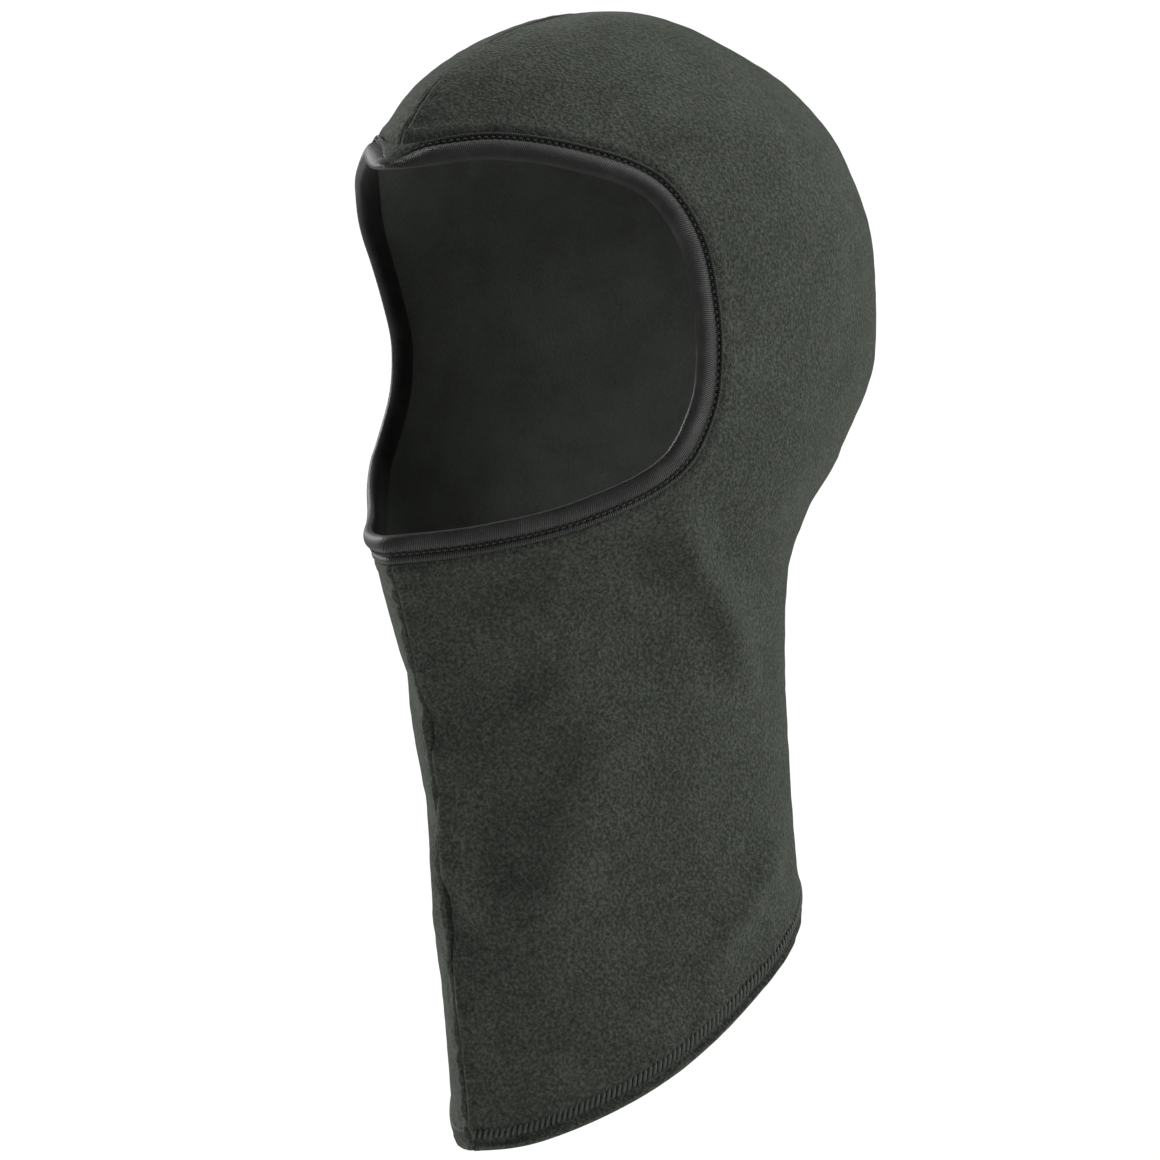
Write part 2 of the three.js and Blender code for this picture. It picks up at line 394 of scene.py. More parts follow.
class Look:
    """A material with its principled shader, and a short call for each kind of node in it."""

    def __init__(self, name):
        self.material = bpy.data.materials.new(name)
        self.material.use_nodes = True
        self.tree = self.material.node_tree
        self.shader = self.tree.nodes["Principled BSDF"]
        self.place = self.node("ShaderNodeTexCoord", {}).outputs["Object"]

    def feed(self, node, inputs):
        """Links each input to another node's output, or sets it to a value."""
        for name, value in inputs.items():
            if isinstance(value, bpy.types.NodeSocket):
                self.tree.links.new(value, node.inputs[name])
            else:
                node.inputs[name].default_value = value

    def node(self, kind, inputs, **settings):
        made = self.tree.nodes.new(kind)
        for name, value in settings.items():
            setattr(made, name, value)
        self.feed(made, inputs)
        return made

    def noise(self, scale, detail, roughness=0.55):
        inputs = {"Vector": self.place, "Scale": scale, "Detail": detail, "Roughness": roughness}
        return self.node("ShaderNodeTexNoise", inputs).outputs["Fac"]

    def math(self, operation, *values):
        node = self.node("ShaderNodeMath", dict(enumerate(values)), operation=operation)
        return node.outputs["Value"]

    def ranged(self, value, start, end, low, high, kind="LINEAR"):
        """Goes from low to high while the value goes from start to end."""
        inputs = {"Value": value, "From Min": start, "From Max": end, "To Min": low, "To Max": high}
        return self.node("ShaderNodeMapRange", inputs, interpolation_type=kind).outputs["Result"]

    def ramp(self, factor, stops):
        node = self.node("ShaderNodeValToRGB", {"Fac": factor})
        elements = node.color_ramp.elements
        while len(elements) < len(stops):
            elements.new(0.5)
        for element, (place, colour) in zip(elements, stops):
            element.position = place
            element.color = (*colour, 1)
        return node.outputs["Color"]

    def bump(self, height, strength, distance, **below):
        inputs = {"Height": height, "Strength": strength, "Distance": distance, **below}
        return self.node("ShaderNodeBump", inputs).outputs["Normal"]

    def finished(self, inputs):
        self.feed(self.shader, inputs)
        return self.material


def fleece_material(name, colours, grain, coarse_height):
    """Short-pile fleece: small soft pebbles of pile, fine fibres and faint uneven patches.
    grain is how much of the tone the pile gives."""
    look = Look(name)
    pebbles = look.noise(PEBBLES, 2)
    fibres = look.noise(FIBRES, 3, 0.7)
    patches = look.noise(CLOTH_PATCHES, 3)
    pile = look.math("ADD", look.math("MULTIPLY", pebbles, 0.65 * grain),
                     look.math("MULTIPLY", fibres, 0.35 * grain))
    tone = look.math("ADD", pile, look.math("MULTIPLY", patches, 1 - grain))
    coarse = look.bump(pebbles, 0.7, coarse_height)
    return look.finished({
        "Base Color": look.ramp(tone, list(zip(PILE_STOPS, colours))),
        "Normal": look.bump(fibres, 0.4, 0.0004, Normal=coarse),
        "Roughness": 0.95,
        "Specular IOR Level": 0.12,
        "Sheen Weight": 0.10,
        "Sheen Roughness": 0.5,
        "Sheen Tint": (0.62, 0.68, 0.60, 1),
    })


def painted_groove_shade(look, across, colour):
    """The colour darkened along the stitched groove, as painted shade in the groove."""
    off = look.math("ABSOLUTE", look.math("SUBTRACT", across, LIP_BROW + GROOVE_HALF))
    shade = look.ranged(off, 0.3, 1.1, 0.25, 1.0, "SMOOTHSTEP")
    scaled = look.node("ShaderNodeVectorMath", {0: colour, "Scale": shade}, operation="SCALE")
    return scaled.outputs["Vector"]


def tape_material():
    """Knitted elastic tape, with fine ribs across it that fade towards its rolled edge."""
    look = Look("binding_tape")
    uv = look.node("ShaderNodeUVMap", {}, uv_map="along").outputs["UV"]
    split = look.node("ShaderNodeSeparateXYZ", {"Vector": uv})
    along, across = split.outputs["X"], split.outputs["Y"]
    slant = look.math("ADD", along, look.math("MULTIPLY", across, RIB_SLANT))
    ribs = look.math("SINE", look.math("MULTIPLY", slant, 2 * math.pi / RIB_PITCH))
    rib = look.math("MULTIPLY", ribs, look.ranged(across, 4.5, 9.5, 0.34, 0.02))
    fibres = look.noise(FIBRES, 2, 0.7)
    patches = look.noise(TAPE_PATCHES, 2)
    height = look.math("ADD", rib, look.math("MULTIPLY", fibres, 0.4))
    tone = look.math("ADD", height, look.math("MULTIPLY", patches, 0.45))
    colour = look.ramp(tone, [(0.28, (0.005, 0.005, 0.005)), (0.50, (0.018, 0.020, 0.018)),
                              (0.74, (0.074, 0.080, 0.073))])
    return look.finished({
        # The darkening along the groove is painted shade.
        "Base Color": painted_groove_shade(look, across, colour),
        "Normal": look.bump(height, 0.6, 0.0005),
        "Roughness": 0.55,
        "Specular IOR Level": 0.35,
        "Sheen Weight": 0.08,
        "Sheen Roughness": 0.4,
    })


def thread_material():
    """Spun sewing thread, a little shiny, with fibres standing off it."""
    look = Look("sewing_thread")
    fibres = look.noise(THREAD_FIBRES, 3, 0.65)
    return look.finished({
        "Base Color": look.ramp(fibres, [(0.3, (0.036, 0.040, 0.034)),
                                         (0.55, (0.064, 0.069, 0.061)),
                                         (0.8, (0.108, 0.115, 0.103))]),
        "Normal": look.bump(fibres, 0.4, 0.0002),
        "Roughness": 0.6,
        "Specular IOR Level": 0.35,
    })


def floor_material():
    """A pale floor that grows as bright as the white surroundings away from the balaclava."""
    look = Look("pale_floor")
    colour = look.ramp(look.noise(FLOOR_PATCHES, 2), [(0.3, (0.80, 0.80, 0.79)),
                                                      (0.7, (0.84, 0.84, 0.83))])
    distance = look.node("ShaderNodeVectorMath", {0: look.place}, operation="LENGTH")
    glow = look.ranged(distance.outputs["Value"], 0.2, 2.5, 0.2, 1.05, "SMOOTHSTEP")
    seen = look.node("ShaderNodeLightPath", {}).outputs["Is Camera Ray"]
    return look.finished({
        "Base Color": colour,
        "Roughness": 0.9,
        "Emission Strength": look.math("MULTIPLY", glow, seen),
        "Emission Color": WHITE,
    })


fleece = fleece_material("fleece", [(0.026, 0.030, 0.025), (0.050, 0.056, 0.047),
                                    (0.091, 0.100, 0.085)], 0.86, 0.0012)
# The inner faces get a much lighter copy of the fleece: painted light standing in for light
# reaching inside the opening.
inside_painted_light = fleece_material("fleece_inside_painted_light", [(0.125, 0.134, 0.121), (0.150, 0.160, 0.145),
                                             (0.175, 0.186, 0.169)], 0.5, 0.0004)
tape = tape_material()
thread = thread_material()

# ---- The fleece panels ----

ROW_STEP = 1.3
COLUMN_STEP = 2.5
SEAM_STEPS = (0, 0.3, 0.7, 1.2, 1.7, 2.2, 2.8, 3.6, 4.8, 6.6)
BAND = 12.0  # height above the hem in which the rows run along it
BAND_FINENESS = 1.7
EDGE_STEPS = 7  # round the hem's edge

# Soft folds of each panel in side view: points [Y, down], width and rise in millimetres. A fold
# with a negative rise is a hollow.
LEFT_FOLDS = [
    ([(-42, 162), (-30, 180), (-17, 196), (-6, 213), (10, 234)], 7, 5.2),
    ([(-58, 196), (-46, 214), (-30, 240)], 15, -3.0),
    ([(-44, 232), (-53, 267), (-59, 307), (-65, 349)], 11, 3.8),
    ([(-90, 252), (-84, 236), (-66, 220)], 8, -4.8),
    ([(-96, 205), (-84, 198), (-70, 192)], 7, -3.0),
    ([(-84, 264), (-80, 287), (-72, 316)], 4.5, 3.2),
    ([(-82, 292), (-78, 306), (-75, 320)], 4, -3.2),
    ([(-70, 252), (-69, 277), (-70, 300)], 7, -3.4),
    ([(-14, 329), (5, 302), (26, 276)], 6, 3.0),
]
RIGHT_FOLDS = [
    ([(-34, 164), (-20, 184), (-6, 203), (8, 222)], 9, 3.8),
    ([(-46, 196), (-32, 214), (-16, 240)], 13, -3.2),
    ([(-40, 236), (-50, 280), (-58, 330)], 9, 2.4),
    ([(-86, 244), (-80, 228), (-66, 214)], 8, -2.6),
    ([(-82, 272), (-77, 296), (-70, 322)], 5, 2.2),
    ([(-64, 262), (-64, 286), (-66, 306)], 8, -2.3),
    ([(-6, 322), (12, 296), (30, 272)], 7, 2.1),
]
BACK_FULLNESS = 1.3  # how far the cloth stands off the form behind the crown

# Small reliefs of the cloth's outer face, in millimetres.
PILE_SIZE, PILE_RISE = 5.0, 0.10
SWELL_SIZE, SWELL_RISE = 28.0, 0.30
PUCKER_SIZE = 4.2  # length of the puckers along the centre seams
RIDGE_RISE, CREASE_RISE = 0.7, 0.6
CROWN_STRENGTH, THROAT_STRENGTH, BACK_STRENGTH = 0.2, 1.0, 0.4  # of the seams' relief
# Ridges and hollows along the hem: height over its edge, width and rise.
HEM_RIDGES = [(1.8, 1.3, 0.5), (HEM_STITCH_HEIGHT - 2.0, 0.9, -1.1), (HEM_FOLD, 1.6, 0.4),
              (HEM_STITCH_HEIGHT, 1.6, -0.5)]


def depth_at(v, y):
    """Depth of a row: v runs from the crown (0) over the neck's top (1) to the hem's band (2)
    and the hem's edge (3)."""
    upper = NECK_TOP * np.clip(v, 0, 1) ** 2
    band = BAND * hem_lean(y)
    middle = (hem_depth(y) - band - NECK_TOP) * np.clip(v - 1, 0, 1)
    return upper + middle + band * np.clip(v - 2, 0, 1)


def settled_depth(v, angle):
    """Depth of a row at an angle, where the hem's own depth depends on the place along Y."""
    depth = depth_at(v, np.zeros_like(angle))
    for _ in range(8):
        depth = depth_at(v, form_point(np.sqrt(depth), angle)[..., 1])
    return depth


def panel_rows():
    """The rows' places v, evenly spaced over the cloth and closer together in the hem's band,
    down to the start of the hem's rounded edge."""
    v = np.concatenate([np.linspace(0, 1, 400)[:-1], np.linspace(1, 2, 200)[:-1],
                        np.linspace(2, 3, 60)])
    angles = np.linspace(0.2, math.pi - 0.2, 7) + 0 * v[:, None]
    points = form_point(np.sqrt(settled_depth(v[:, None], angles)), angles)
    steps = np.linalg.norm(np.diff(points, axis=0), axis=2).mean(axis=1)
    steps = steps * np.where(v[1:] > 2, BAND_FINENESS, 1)
    distance = np.append(0, np.cumsum(steps))
    even = np.linspace(0, distance[-1], int(distance[-1] / ROW_STEP))
    rows = np.interp(even, distance, v)
    return rows[rows < 3 - HEM_ROUND / BAND]


def seam_places(length, columns):
    """Places of the columns along a row, close together next to both seams."""
    zone = min(SEAM_STEPS[-1], 0.25 * length)
    near = np.array(SEAM_STEPS) * zone / SEAM_STEPS[-1]
    middle = np.linspace(zone, length - zone, columns - 2 * len(near) + 2)[1:-1]
    return np.concatenate([near, middle, length - near[::-1]])


def panel_places(rows):
    """Root, angle, and distances from the front and back seams at each point of the grid."""
    dense = np.linspace(0, math.pi, 721)
    lines = []
    for v in rows:
        depth = settled_depth(np.full_like(dense, v), dense)
        distance = length_along(form_point(np.sqrt(depth), dense))
        lines.append((depth, distance))
    widest = max(distance[-1] for _, distance in lines)
    columns = 2 * len(SEAM_STEPS) + int((widest - 2 * SEAM_STEPS[-1]) / COLUMN_STEP)
    grid = []
    for depth, distance in lines:
        places = seam_places(distance[-1], columns)
        grid.append((np.sqrt(np.interp(places, distance, depth)),
                     np.interp(places, distance, dense), places, distance[-1] - places))
    return np.array(grid).transpose(1, 0, 2)


def distance_to_line(y, z, line):
    """Distance of a grid of side-view points to a line of points, and its nearest point's
    number."""
    best, nearest = np.zeros(y.shape), np.zeros(y.shape, int)
    for row in range(len(y)):
        gap = np.hypot(y[row, :, None] - line[:, 0], z[row, :, None] - line[:, 1])
        nearest[row] = gap.argmin(axis=1)
        best[row] = gap.min(axis=1)
    return best, nearest


def ahead_of(line, points):
    """How far points lie inside the face opening's outline in side view, less than 0 outside
    it, and the number of the outline's nearest point."""
    y, z = points[..., 1], points[..., 2]
    gap, nearest = distance_to_line(y, z, line)
    along = np.gradient(line, axis=0)[nearest]
    side = along[..., 0] * (z - line[nearest][..., 1]) - along[..., 1] * (y - line[nearest][..., 0])
    return np.where(side < 0, gap, -gap), nearest


def seam_relief(points, gap, strength, seed):
    """Two puckered ridges beside a seam, with the seam sunk between them and the cloth drawn
    into short creases across it."""
    stretched = points * (0.4, 1, 1)
    pucker = np.clip(0.8 + 0.9 * smooth_noise(stretched, PUCKER_SIZE, seed), 0.0, 1.6)
    ridges = RIDGE_RISE * pucker * bump(gap, 1.7, 1.0) - 0.25 * bump(gap, 0, 0.45)
    creases = CREASE_RISE * smooth_noise(stretched, PUCKER_SIZE, seed + 1) * bump(gap, 4.2, 2.2)
    return strength * (ridges + creases)


def hem_relief(points, above_hem, seed):
    """The doubled hem, drawn in along its stitching with short puckers across it."""
    height = sum(rise * bump(above_hem, place, width) for place, width, rise in HEM_RIDGES)
    return height + 0.3 * smooth_noise(points, 4.0, seed) * bump(above_hem, 6.0, 4.0)


def relief(points, from_front, from_back, lip_gap, above_hem, seed):
    """How far the fleece's outer face stands off the form: pile, seams, hem and tape edge."""
    height = PILE_RISE * smooth_noise(points, PILE_SIZE, seed)
    height += SWELL_RISE * smooth_noise(points, SWELL_SIZE, seed + 2)
    low = ease(-points[..., 2], 20, 45)
    front = CROWN_STRENGTH + (THROAT_STRENGTH - CROWN_STRENGTH) * low
    back = CROWN_STRENGTH + (BACK_STRENGTH - CROWN_STRENGTH) * low
    height += seam_relief(points, from_front, front, seed + 3)
    height += seam_relief(points, from_back, back, seed + 5)
    height += hem_relief(points, above_hem, seed + 7)
    return height + 0.5 * bump(lip_gap, -2.6, 1.3) - 0.9 * ease(lip_gap, -1.3, 0.0)


def fold_relief(folds, points, angle):
    """Soft folds of the whole cloth and the fullness behind the crown, the same on its outer
    and inner faces."""
    y, depth = points[..., 1], -points[..., 2]
    crown = 1 - ease(depth, 80, 150)
    height = BACK_FULLNESS * crown * ease(angle, math.pi / 2, 0.8 * math.pi) * ease(depth, 0, 30)
    for corners, width, rise in folds:
        line = spline(corners, 60)
        gap, nearest = distance_to_line(y, depth, line)
        fade = ease(nearest, -1, 20) * (1 - ease(nearest, 39, 60))
        height += rise * fade * np.exp(-(gap / width) ** 2)
    return height


def quads_round(kept):
    """How many of the kept quads meet at each point of the grid."""
    padded = np.pad(kept.astype(int), 1)
    return padded[:-1, :-1] + padded[1:, :-1] + padded[:-1, 1:] + padded[1:, 1:]


def cut_opening(root, angle):
    """The grid with its rim drawn onto the fleece's cut edge, and which of its quads are kept
    round the face opening."""
    line = moved_outline(FLEECE_REACH, PANEL_EXTENSION)
    ahead, nearest = ahead_of(line, form_point(root, angle))
    front_half = angle < math.pi / 2
    opening = (ahead > 0) & front_half
    kept = ~(opening[:-1, :-1] | opening[1:, :-1] | opening[:-1, 1:] | opening[1:, 1:])
    touched = quads_round(kept)
    partly = (touched > 0) & (touched < quads_round(np.ones_like(kept)))
    rim = partly & (ahead > -2 * COLUMN_STEP) & front_half
    root = np.where(rim, np.sqrt(np.maximum(-line[nearest][..., 1], 0)), root)
    angle = np.where(rim, angle_of(root, line[nearest][..., 0]), angle)
    angle[:, 0] = 0
    return root, angle, kept


class Cloth:
    """The points and faces of one closed piece of cloth, gathered part by part."""

    def __init__(self):
        self.points = np.zeros((0, 3))
        self.faces = []

    def add(self, points):
        """Adds points and gives back their numbers, in the same rows and columns."""
        first = len(self.points)
        self.points = np.vstack([self.points, points.reshape(-1, 3)])
        return first + np.arange(len(self.points) - first).reshape(points.shape[:-1])

    def loop(self, corners, turned):
        self.faces.append(corners[::-1] if turned else corners)

    def sheet(self, ids, kept=None, turned=False):
        """Faces between rows and columns of points."""
        found = quads(ids)
        found = found[kept] if kept is not None else found.reshape(-1, 4)
        self.faces.extend((found[:, ::-1] if turned else found).tolist())

    def cut_edge(self, outer, inner, kept):
        """Joins the outer and inner faces round the face opening."""
        for row, column in zip(*np.nonzero(kept[:, 1:] != kept[:, :-1])):
            ends = ((row, column + 1), (row + 1, column + 1))
            self.wall(outer, inner, *(ends if kept[row, column + 1] else ends[::-1]))
        for column, row in zip(*np.nonzero((kept[1:] != kept[:-1]).T)):
            ends = ((row + 1, column), (row + 1, column + 1))
            self.wall(outer, inner, *(ends[::-1] if kept[row + 1, column] else ends))

    def wall(self, outer, inner, start, end):
        self.faces.append([outer[start], outer[end], inner[end], inner[start]])

    def seam_side(self, lines, fold, held, turned):
        """The panel's side along a centre seam. The lines run down the outer face, the two
        corners of the allowance and the inner face; in the hem the cloth is only folded."""
        outer = lines[0]
        first_fold = len(outer) - len(fold)
        for row in np.flatnonzero(held):
            if row >= first_fold:
                i = row - first_fold
                self.loop([outer[row], fold[i], fold[i + 1], outer[row + 1]], turned)
                continue
            for a, b in zip(lines[:-1], lines[1:]):
                self.loop([a[row], b[row], b[row + 1], a[row + 1]], turned)
            if row > 0 and not held[row - 1]:
                self.loop([line[row] for line in lines], not turned)
            if row + 1 == first_fold:
                self.loop([line[row + 1] for line in lines] + [fold[0]], turned)
            elif not held[row + 1]:
                self.loop([line[row + 1] for line in lines], turned)


def hem_edge(outer, fold, base):
    """Rows of points round the hem's edge, from the outer face to the fold inside."""
    down_cloth = unit(base[-1] - base[-2])
    middle = (outer[-1] + fold[-1]) / 2
    spread = (outer[-1] - fold[-1]) / 2
    turns = np.linspace(0, math.pi, EDGE_STEPS)[1:-1]
    return np.stack([middle + spread * math.cos(turn) + down_cloth * HEM_ROUND * math.sin(turn)
                     for turn in turns])


def beside_seam(points, least):
    """The points kept at least this far from the middle between the panels."""
    return np.stack([np.hypot(points[..., 0], least), points[..., 1], points[..., 2]], axis=-1)


def side_panel(node, folds, seed, right):
    """One panel as a closed body: its outer and inner faces, the turned-up hem, the seam
    allowances that stand inwards along both centre seams, and the cut edge in the tape."""
    rows = panel_rows()
    root, angle, from_front, from_back = panel_places(rows)
    root, angle, kept = cut_opening(root, angle)
    base = form_point(root, angle)
    normal = form_normal(root, angle)
    lip_gap = ahead_of(moved_outline(0, PANEL_EXTENSION), base)[0]
    lip_gap = np.where(angle < math.pi / 2, lip_gap, -np.inf)
    waves = fold_relief(folds, base, angle)
    height = relief(base, from_front, from_back, lip_gap, height_over_hem(base), seed)
    rise = height * ease(root, 0, 1.2) + waves

    def below(distance):
        return base + normal * (waves - distance)[..., None]

    cloth = Cloth()
    in_hem = (3 - rows) * BAND < HEM_FOLD
    outer_points = beside_seam(base + normal * rise[..., None], SEAM_GAP)
    fold_points = beside_seam(below(2 * FLEECE), SEAM_GAP + FLEECE)[in_hem]
    outer = cloth.add(outer_points)
    inner = cloth.add(beside_seam(below(FLEECE), SEAM_GAP + FLEECE))
    fold = cloth.add(fold_points)
    edge = cloth.add(hem_edge(outer_points, fold_points, base))

    first_fold = np.flatnonzero(in_hem)[0]
    cloth.sheet(outer, kept)
    inner_start = len(cloth.faces)
    cloth.sheet(inner[:first_fold + 1], kept[:first_fold], turned=True)
    inner_end = len(cloth.faces)
    cloth.sheet(np.vstack([outer[-1:], edge, fold[::-1], inner[first_fold:first_fold + 1]]))
    cloth.cut_edge(outer, inner, kept)
    for column, turned in ((0, False), (-1, True)):
        near_points = below(FLEECE + ALLOWANCE)[:, column] * (0, 1, 1) + (SEAM_GAP, 0, 0)
        near = cloth.add(near_points)
        far = cloth.add(near_points + (FLEECE, 0, 0))
        cloth.seam_side([outer[:, column], near, far, inner[:, column]], fold[:, column],
                        kept[:, column], turned)
        cloth.loop([outer[-1, column], *edge[:, column], fold[-1, column]], turned)

    points, faces = cloth.points, cloth.faces
    if right:
        points = right_side(points)
        faces = [face[::-1] for face in faces]
    piece = make_piece(node, points, faces, fleece)
    # The inner faces take the lighter copy of the fleece, which is painted light.
    piece.data.materials.append(inside_painted_light)
    inner_side = np.zeros(len(faces), int)
    inner_side[inner_start:inner_end] = 1
    piece.data.polygons.foreach_set("material_index", inner_side)
    tidy_mesh(piece.data)
    return piece


left_panel = side_panel("left_side_panel", LEFT_FOLDS, 1, False)
right_panel = side_panel("right_side_panel", RIGHT_FOLDS, 11, True)

# ---- The face binding ----

RING_STEP = 0.33  # along the ring, between the tape's cross-sections
RING_COUNT = 1200  # steps along the ring at which the form is worked out
INSET_STEP = 0.25
LIP_SAMPLES = 9000
NUDGE = 0.01  # small change of root or angle that measures the form's slopes
GROOVE_FLOOR = -0.3
GROOVE_TURN = 14.0  # length at the brow over which the groove runs across the tape
GROOVE_END = 1.3  # its distance there from the rolled edge
BAND_FOOT = 0.1  # the band's height over the fleece at the brow seam
BAND_CREST = 1.7  # and further on
CREST_SHARE = 0.40  # where the crest lies between the groove and the rolled edge
TAPE_MIDDLE = (TAPE_OUTSIDE + TAPE_INSIDE) / 2
SLOT_LOW = -FLEECE - CLEARANCE
SLOT_HIGH = -0.7  # the slot's upper face, under the groove
TAPE_THREAD, TACK_THREAD = 0.24, 0.2  # the threads' radii
TACK_BARS = 7
TACK_HALF = 2.6  # half the length of a bar


def lip_line():
    """Root and angle along the tape's outer edge, evenly spaced between the centre seams."""
    line = moved_outline(0, TAPE_EXTENSION)
    places = np.linspace(0, len(line) - 1, LIP_SAMPLES)
    fine = sampled(places, np.arange(len(line)), line)
    root = np.sqrt(np.maximum(-fine[:, 1], 0))
    reach = (fine[:, 0] - widest_at(root)) / (front_at(root) - widest_at(root))
    middle = len(fine) // 2
    start = np.flatnonzero(reach[:middle] >= 1)[-1]
    end = middle + np.flatnonzero(reach[middle:] >= 1)[0]
    root = root[start:end + 1]
    angle = angle_of(root, fine[start:end + 1, 0])
    distance = length_along(form_point(root, angle))
    even = np.linspace(0, distance[-1], RING_COUNT)
    return np.interp(even, distance, root), np.interp(even, distance, angle), distance[-1]


def dot(a, b):
    return (a * b).sum(axis=1)


def ring_table():
    """Points and normals of the form at each step from the tape's outer edge into the opening,
    measured along the cloth."""
    root, angle, length = lip_line()
    angle[[0, -1]] = 0
    points, normals = [], []
    for _ in range(int(TAPE_WIDTH / INSET_STEP) + 1):
        here = form_point(root, angle)
        normal = form_normal(root, angle)
        points.append(here)
        normals.append(normal)
        along = np.gradient(here, axis=0)
        along[0], along[-1] = (1, 0, 0), (-1, 0, 0)
        inwards = unit(np.cross(along, normal))
        by_root = (form_point(root + NUDGE, angle) - here) / NUDGE
        by_angle = (form_point(root, angle + NUDGE) - form_point(root, angle - NUDGE)) / (2 * NUDGE)
        root_root = dot(by_root, by_root)
        root_angle = dot(by_root, by_angle)
        angle_angle = dot(by_angle, by_angle)
        root_step = INSET_STEP * dot(by_root, inwards)
        angle_step = INSET_STEP * dot(by_angle, inwards)
        spread = root_root * angle_angle - root_angle * root_angle
        root = root + (angle_angle * root_step - root_angle * angle_step) / spread
        angle = angle + (root_root * angle_step - root_angle * root_step) / spread
        angle[[0, -1]] = 0
    return np.stack(points), np.stack(normals), length


RING_POINTS, RING_NORMALS, RING_LENGTH = ring_table()


def ring_at(inset, along):
    """Points and normals of the form at these insets and distances from the brow seam."""
    across = np.clip(inset / TAPE_WIDTH, 0, 1) * (len(RING_POINTS) - 1)
    onward = np.clip(along / RING_LENGTH, 0, 1) * (RING_COUNT - 1)
    i = np.minimum(across.astype(int), len(RING_POINTS) - 2)
    j = np.minimum(onward.astype(int), RING_COUNT - 2)
    s, t = (across - i)[..., None], (onward - j)[..., None]

    def blend(table):
        return ((table[i, j] * (1 - t) + table[i, j + 1] * t) * (1 - s)
                + (table[i + 1, j] * (1 - t) + table[i + 1, j + 1] * t) * s)

    return blend(RING_POINTS), blend(RING_NORMALS)


def lip_at(along):
    """Width of the raised lip, which grows towards the chin."""
    return LIP_BROW + (LIP_CHIN - LIP_BROW) * ease(along, 0.55 * RING_LENGTH, 0.95 * RING_LENGTH)


def groove_at(along):
    """The groove's inset: it runs down to the rolled edge at the brow, where the tape ends."""
    groove = lip_at(along) + GROOVE_HALF
    left = np.clip(1 - along / GROOVE_TURN, 0, 1) ** 2.6
    return groove + left * (TAPE_WIDTH - GROOVE_END - groove)


def circle(x):
    """Height of a circle of radius 1 at a place from its middle."""
    return np.sqrt(np.clip(1 - x ** 2, 0, 1))


def tape_height(inset, along):
    """Height of the tape's outer face over the fleece: a raised lip, a deep stitched groove
    that the stitches draw in, and a full round band that rolls over into the opening."""
    groove = groove_at(along)
    stitch = 0.5 + 0.5 * np.cos(2 * math.pi * along / TAPE_STITCH_PITCH)
    lip_width = groove - GROOVE_HALF - 0.12 * stitch
    from_lip = np.clip(inset / lip_width, 0, 1)
    lip = np.sin(math.pi * from_lip ** 0.9) ** 0.6 * (0.45 + 0.7 * ease(along, 6, 20))
    crest = BAND_FOOT + (BAND_CREST - BAND_FOOT) * ease(along, 0, 16)
    band_start = groove + GROOVE_HALF + 0.3 * stitch
    share = np.clip((inset - band_start) / (TAPE_WIDTH - band_start), 0, 1)
    rise = circle(1 - np.clip(share / CREST_SHARE, 0, 1))
    fall = circle(np.clip(share - CREST_SHARE, 0, 1) / (1 - CREST_SHARE))
    up = GROOVE_FLOOR + (crest - GROOVE_FLOOR) * rise
    over = TAPE_MIDDLE + (crest - TAPE_MIDDLE) * fall
    band = np.where(share < CREST_SHARE, up, over)
    return np.where(inset < lip_width, GROOVE_FLOOR + lip, band)


def tape_profile(along):
    """The tape's closed cross-section as (inset, heights along the ring) pairs."""
    fine_end = LIP_CHIN + 2.6 * GROOVE_HALF
    crest = fine_end + 1.2
    turns = np.linspace(0, math.pi / 2, 13)
    outer = np.concatenate([np.linspace(0, fine_end, 23), [fine_end + 0.6],
                            crest + (TAPE_WIDTH - crest) * np.sin(turns)])
    pairs = [(inset, tape_height(inset, along)) for inset in outer]
    round_start = TAPE_SLOT + 0.8
    for turn in turns[-3:0:-2]:
        inset = round_start + (TAPE_WIDTH - round_start) * math.sin(turn)
        pairs.append((inset, TAPE_MIDDLE + (TAPE_INSIDE - TAPE_MIDDLE) * math.cos(turn)))
    pairs += [(TAPE_SLOT, TAPE_INSIDE), (3.5, TAPE_INSIDE), (1.4, TAPE_INSIDE),
              (0.6, TAPE_INSIDE + 0.4), (0.6, SLOT_LOW), (TAPE_SLOT + CLEARANCE, SLOT_LOW),
              (TAPE_SLOT + CLEARANCE, SLOT_HIGH), (1.5, SLOT_HIGH), (0.3, SLOT_HIGH)]
    return [(inset, np.broadcast_to(height, along.shape)) for inset, height in pairs]


def binding_tape():
    """The tape: its cross-sections all round the opening. The turned-in corner at the brow,
    outside the groove, shows the fleece."""
    count = int(RING_LENGTH / RING_STEP)
    along = np.linspace(0, RING_LENGTH, count)
    rows, uv, turned_in = [], [], []
    from_groove = lip_at(along) + GROOVE_HALF - groove_at(along)
    inner_side = False
    for inset, height in tape_profile(along):
        points, normals = ring_at(np.full(count, inset), along)
        rows.append(points + normals * height[:, None])
        inner_side = inner_side or height.max() <= TAPE_MIDDLE
        across = 2 * TAPE_WIDTH - inset if inner_side else inset
        uv.append(np.stack([along, across + from_groove + LIP_BROW - lip_at(along)], axis=1))
        outside = inset < groove_at(along) - GROOVE_HALF
        turned_in.append(outside & (along < GROOVE_TURN) & (not inner_side))
    left = np.stack(rows, axis=1)
    left[[0, -1], :, 0] = 0
    coords, cover = np.stack(uv, axis=1), np.stack(turned_in, axis=1)
    ring, coords, cover = (np.concatenate([part, other[-2:0:-1]]) for part, other in (
        (left, right_side(left)), (coords, coords), (cover, cover)))
    faces = closed_quads(*cover.shape, ring=True)
    piece = make_piece("face_binding_tape", ring.reshape(-1, 3), faces.tolist(), tape,
                       coords.reshape(-1, 2))
    piece.data.materials.append(fleece)
    covered = cover.ravel()[faces].all(axis=1)
    piece.data.polygons.foreach_set("material_index", covered.astype(int))
    tidy_mesh(piece.data)
    return piece


